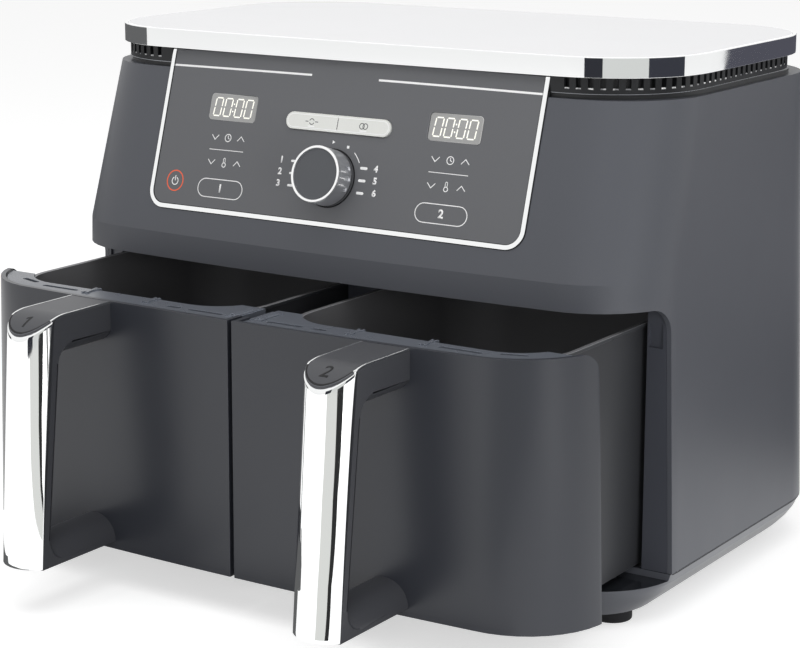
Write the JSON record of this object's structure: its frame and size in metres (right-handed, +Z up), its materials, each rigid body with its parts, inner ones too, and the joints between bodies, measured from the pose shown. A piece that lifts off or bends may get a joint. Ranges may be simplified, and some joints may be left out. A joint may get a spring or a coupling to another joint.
{
  "type": "air fryer",
  "caption": "Wide counter-top air fryer with side-by-side pull-out drawers, upright grips, a sloping control panel with a dial, and a vented chrome-edged lid.",
  "frame": {"origin": "on the floor plane, at the middle of the whole object's box with the drawers standing open as stored", "axes": "+Z up, -Y out of the front where the drawers open, +X to the right seen from the front"},
  "size_m": [0.434, 0.4353, 0.327],
  "materials": {
    "shell_plastic": "fine matte",
    "cover_plastic": "satin",
    "base_plastic": "matte",
    "dark_plastic": "matte",
    "bracket_plastic": "satin",
    "grip_plastic": "satin",
    "cap_satin": "satin",
    "vent_black": "matte",
    "lid_white": "satin",
    "panel_grey": "smooth satin",
    "dial_dark": "satin",
    "key_cream": "satin",
    "display_window": "smooth",
    "display_white": "matte",
    "pad_silicone": "soft",
    "foot_rubber": "soft",
    "chrome": "polished",
    "steel": "brushed",
    "liner_steel": "rolled sheet",
    "pan_coating": "non-stick coating",
    "element_sheath": "oxidised",
    "board_green": "coated"
  },
  "bodies": {
    "housing": {"base_tray": "base_plastic", "rubber_feet": "foot_rubber", "outer_shell": "shell_plastic", "front_frame": "dark_plastic", "rear_cover": "dark_plastic", "cord_gland": "foot_rubber", "top_deck": "dark_plastic", "vent_ring": "vent_black", "lid_rim": "chrome", "lid_top": "lid_white", "control_fascia": "panel_grey", "panel_trim": "chrome", "display_window_left": "display_window", "display_window_right": "display_window", "display_modules": "display_white", "control_board": "board_green", "dial_encoder": "steel", "centre_rib": "liner_steel", "drawer_guides": "dark_plastic", "power_board": "board_green", "drawer_switches": "dark_plastic", "deck_screws": "steel", "base_screws": "steel", "rear_screws": "steel", "chamber_liner_left": "liner_steel", "chamber_liner_right": "liner_steel", "heating_element_left": "element_sheath", "heating_element_right": "element_sheath", "element_guard_left": "steel", "element_guard_right": "steel", "motor_left": "liner_steel", "motor_right": "liner_steel"},
    "drawer_left": {"drawer_pan_left": "pan_coating", "drawer_cover_left": "cover_plastic", "drawer_bracket_left": "bracket_plastic", "handle_grip_left": "grip_plastic", "handle_chrome_left": "chrome", "handle_cap_left": "cap_satin", "handle_screws_left": "steel"},
    "plate_left": {"crisper_plate_left": "pan_coating", "plate_pads_left": "pad_silicone"},
    "fan_left": {"hot_fan_left": "steel", "cooling_fan_left": "dark_plastic"},
    "drawer_right": {"drawer_pan_right": "pan_coating", "drawer_cover_right": "cover_plastic", "drawer_bracket_right": "bracket_plastic", "handle_grip_right": "grip_plastic", "handle_chrome_right": "chrome", "handle_cap_right": "cap_satin", "handle_screws_right": "steel"},
    "plate_right": {"crisper_plate_right": "pan_coating", "plate_pads_right": "pad_silicone"},
    "fan_right": {"hot_fan_right": "steel", "cooling_fan_right": "dark_plastic"},
    "dial_press": {"dial_shaft": "steel"},
    "dial": {"dial_knob": "dial_dark", "dial_ring": "chrome"},
    "mode_rocker": {"mode_key": "key_cream"}
  },
  "joints": [
    {"name": "drawer_slide_left", "type": "slide", "parent": "housing", "child": "drawer_left", "axis": [0, -1, 0], "range_m": [-0.083, 0.085]},
    {"name": "plate_lift_left", "type": "slide", "parent": "drawer_left", "child": "plate_left", "axis": [0, 0, 1], "range_m": [0, 0.09]},
    {"name": "fan_spin_left", "type": "hinge", "parent": "housing", "child": "fan_left", "pos_m": [-0.104, 0.09075, 0.208], "axis": [0, 0, 1], "continuous": true},
    {"name": "drawer_slide_right", "type": "slide", "parent": "housing", "child": "drawer_right", "axis": [0, -1, 0], "range_m": [-0.083, 0.085]},
    {"name": "plate_lift_right", "type": "slide", "parent": "drawer_right", "child": "plate_right", "axis": [0, 0, 1], "range_m": [0, 0.09]},
    {"name": "fan_spin_right", "type": "hinge", "parent": "housing", "child": "fan_right", "pos_m": [0.104, 0.09075, 0.208], "axis": [0, 0, 1], "continuous": true},
    {"name": "dial_push", "type": "slide", "parent": "housing", "child": "dial_press", "axis": [0, 0.9553, -0.2957], "range_m": [0, 0.0015], "stiffness_N_per_m": 2000, "springref_m": -0.0008},
    {"name": "dial_turn", "type": "hinge", "parent": "dial_press", "child": "dial", "pos_m": [0, -0.04555, 0.24694], "axis": [0, -0.9553, 0.2957], "continuous": true},
    {"name": "mode_rock", "type": "hinge", "parent": "housing", "child": "mode_rocker", "pos_m": [0, -0.03155, 0.27694], "axis": [0, 0.2957, 0.9553], "range_deg": [-1.2, 1.2], "stiffness_Nm_per_rad": 2}
  ]
}
